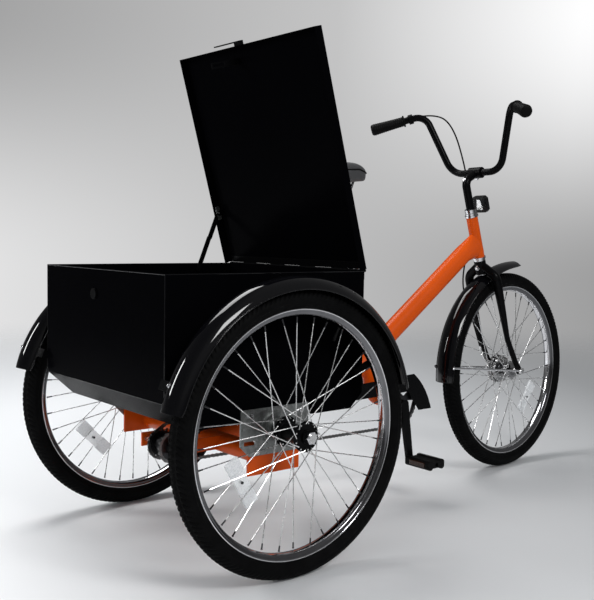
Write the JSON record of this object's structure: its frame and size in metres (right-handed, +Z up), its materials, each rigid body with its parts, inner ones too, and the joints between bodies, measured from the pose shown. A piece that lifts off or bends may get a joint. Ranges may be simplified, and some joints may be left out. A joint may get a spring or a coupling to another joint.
{
  "type": "cargo tricycle",
  "caption": "Adult cargo tricycle with a lidded sheet-metal box between two rear wheels, a sloping main tube, chain drive through a rear jackshaft hub and a steered front wheel.",
  "frame": {"origin": "on the ground, in the middle plane, half way between the rear and front axles", "axes": "+X forward, +Y to the rider's left, +Z up"},
  "size_m": [1.9012, 0.8566, 1.2798],
  "materials": {
    "frame_orange": "gloss orange paint",
    "box_black": "satin black paint",
    "fender_black": "gloss black paint",
    "trim_black": "black paint",
    "chrome": "polished chrome",
    "galvanised": "galvanised steel",
    "steel": "bare steel",
    "dark_steel": "oiled dark steel",
    "alloy": "satin alloy",
    "tyre": "black rubber tyre",
    "rubber": "black rubber",
    "saddle": "dark grey grained cover",
    "black_plastic": "black plastic"
  },
  "bodies": {
    "frame": {"main_frame": "frame_orange", "rear_carrier": "frame_orange", "bearing_cups": "chrome", "seat_collar": "trim_black", "chain_guard": "trim_black", "bearing_hangers": "galvanised", "axle_bearings": "galvanised", "cargo_box": "box_black", "box_hinge_leaf": "trim_black", "left_fender": "fender_black", "right_fender": "fender_black", "rear_fender_stays": "trim_black", "carrier_bolts": "chrome", "front_chain": "dark_steel", "drive_chain": "dark_steel", "hub_axle": "steel"},
    "seat": {"seat_post": "chrome", "saddle_rails": "steel", "saddle_cover": "saddle"},
    "lid": {"lid_panel": "box_black", "lid_hinge_leaf": "trim_black", "lid_fittings": "trim_black"},
    "stay_lower": {"stay_lower_arm": "trim_black"},
    "stay_upper": {"stay_upper_arm": "trim_black"},
    "lock": {"lock_cylinder": "trim_black"},
    "fork": {"fork": "trim_black", "headset_nuts": "chrome", "stem": "trim_black", "handlebar": "trim_black", "grips": "rubber", "lever_bracket": "trim_black", "front_fender": "fender_black", "front_fender_stays": "galvanised", "front_axle": "steel", "brake_plate": "alloy", "front_reflector": "black_plastic", "reflector_bracket": "galvanised", "brake_cable": "rubber"},
    "brake_lever": {"brake_lever": "trim_black"},
    "brake_arm": {"brake_arm": "steel"},
    "front_wheel": {"front_tyre": "tyre", "front_rim": "chrome", "front_spokes": "steel", "front_hub": "alloy"},
    "right_wheel": {"right_tyre": "tyre", "right_rim": "chrome", "right_spokes": "steel", "right_hub": "trim_black", "rear_axle": "steel", "axle_nuts": "chrome"},
    "left_wheel": {"left_tyre": "tyre", "left_rim": "chrome", "left_spokes": "steel", "left_hub": "trim_black"},
    "crank": {"crank_arms": "trim_black", "chainring": "dark_steel"},
    "pedal_right": {"pedal_right": "rubber"},
    "pedal_left": {"pedal_left": "rubber"},
    "hub_driver": {"driver_sprocket": "dark_steel"},
    "hub_shell": {"hub_shell": "alloy"}
  },
  "joints": [
    {"name": "steering", "type": "hinge", "parent": "frame", "child": "fork", "pos_m": [0.58516, 0, 0.31949], "axis": [-0.309, 0, 0.9511], "range_deg": [-49.4, 40.6]},
    {"name": "front_wheel_spin", "type": "hinge", "parent": "fork", "child": "front_wheel", "pos_m": [0.6174, 0.00261, 0.32997], "axis": [-0.073, 0.9971, -0.0237], "continuous": true},
    {"name": "right_wheel_spin", "type": "hinge", "parent": "frame", "child": "right_wheel", "pos_m": [-0.6175, -0.368, 0.33], "axis": [0, 1, 0], "continuous": true, "deforming": ["drive_chain"]},
    {"name": "left_wheel_spin", "type": "hinge", "parent": "frame", "child": "left_wheel", "pos_m": [-0.6175, 0.368, 0.33], "axis": [0, 1, 0], "continuous": true},
    {"name": "hub_shell_spin", "type": "hinge", "parent": "frame", "child": "hub_shell", "pos_m": [-0.75215, -0.02, 0.25862], "axis": [0, 1, 0], "continuous": true},
    {"name": "crank_spin", "type": "hinge", "parent": "frame", "child": "crank", "pos_m": [0.0275, 0, 0.288], "axis": [0, 1, 0], "continuous": true, "deforming": ["front_chain"]},
    {"name": "hub_driver_spin", "type": "hinge", "parent": "frame", "child": "hub_driver", "pos_m": [-0.75215, -0.062, 0.25862], "axis": [0, 1, 0], "continuous": true},
    {"name": "pedal_right_spin", "type": "hinge", "parent": "crank", "child": "pedal_right", "pos_m": [0.05702, -0.148, 0.12058], "axis": [0, 1, 0], "continuous": true},
    {"name": "pedal_left_spin", "type": "hinge", "parent": "crank", "child": "pedal_left", "pos_m": [-0.00202, 0.148, 0.45542], "axis": [0, 1, 0], "continuous": true},
    {"name": "lid_hinge", "type": "hinge", "parent": "frame", "child": "lid", "pos_m": [-0.3364, 0, 0.692], "axis": [0, 1, 0], "range_deg": [-74, 0]},
    {"name": "stay_lower_pivot", "type": "hinge", "parent": "frame", "child": "stay_lower", "pos_m": [-0.4579, 0.2804, 0.673], "axis": [0, 1, 0], "range_deg": [-139.2, 0]},
    {"name": "stay_upper_pivot", "type": "hinge", "parent": "lid", "child": "stay_upper", "pos_m": [-0.39231, 0.2776, 0.83618], "axis": [0, 1, 0], "range_deg": [0, 100.3]},
    {"name": "lock_turn", "type": "hinge", "parent": "frame", "child": "lock", "pos_m": [-0.915, 0.028, 0.632], "axis": [1, 0, 0], "range_deg": [0, 90]},
    {"name": "brake_lever_pull", "type": "hinge", "parent": "fork", "child": "brake_lever", "pos_m": [0.3544, 0.23235, 1.1757], "axis": [-0.3484, 0.0362, 0.9366], "range_deg": [0, 18], "stiffness_Nm_per_rad": 1.2, "springref_deg": -5.73},
    {"name": "brake_arm_swing", "type": "hinge", "parent": "fork", "child": "brake_arm", "pos_m": [0.5818, 0.0405, 0.34574], "axis": [-0.073, 0.9971, -0.0237], "range_deg": [0, 10]},
    {"name": "saddle_height", "type": "slide", "parent": "frame", "child": "seat", "axis": [-0.225, 0, 0.9744], "range_m": [-0.04, 0.05]}
  ],
  "couplings": [
    {"joint": "hub_shell_spin", "follows": "right_wheel_spin", "ratio": 1},
    {"joint": "hub_driver_spin", "follows": "crank_spin", "ratio": 2},
    {"joint": "stay_lower_pivot", "follows": "lid_hinge", "ratio": 1.88},
    {"joint": "stay_upper_pivot", "follows": "lid_hinge", "ratio": -1.354},
    {"joint": "brake_arm_swing", "follows": "brake_lever_pull", "ratio": 0.5555}
  ]
}
